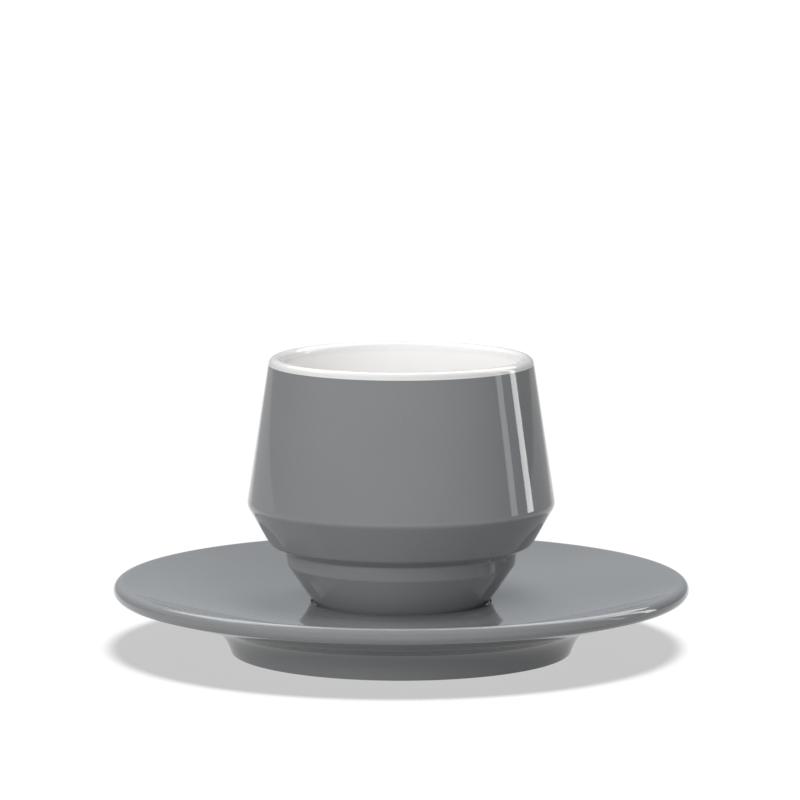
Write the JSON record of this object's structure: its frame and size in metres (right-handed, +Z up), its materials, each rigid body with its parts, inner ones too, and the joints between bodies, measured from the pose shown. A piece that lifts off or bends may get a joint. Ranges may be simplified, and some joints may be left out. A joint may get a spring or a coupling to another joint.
{
  "type": "cup and saucer",
  "caption": "Handle-less grey and white glazed porcelain cup with a stepped waist, standing in the well of a wide saucer with a flared foot ring; the cup lifts straight off.",
  "frame": {"origin": "middle of the saucer's foot ring, on the plane that the ring stands on", "axes": "+Z up, along the common turning axis of the saucer and the cup; X and Y are free, because both pieces are round"},
  "size_m": [0.145, 0.145, 0.0746],
  "materials": {
    "grey_glaze": "gloss",
    "white_glaze": "gloss",
    "bare_porcelain": "matte"
  },
  "bodies": {
    "saucer": {"saucer": "grey_glaze"},
    "cup": {"cup": "grey_glaze"}
  },
  "joints": [
    {"name": "cup_lift", "type": "slide", "parent": "saucer", "child": "cup", "axis": [0, 0, 1], "range_m": [0, 0.1]}
  ]
}
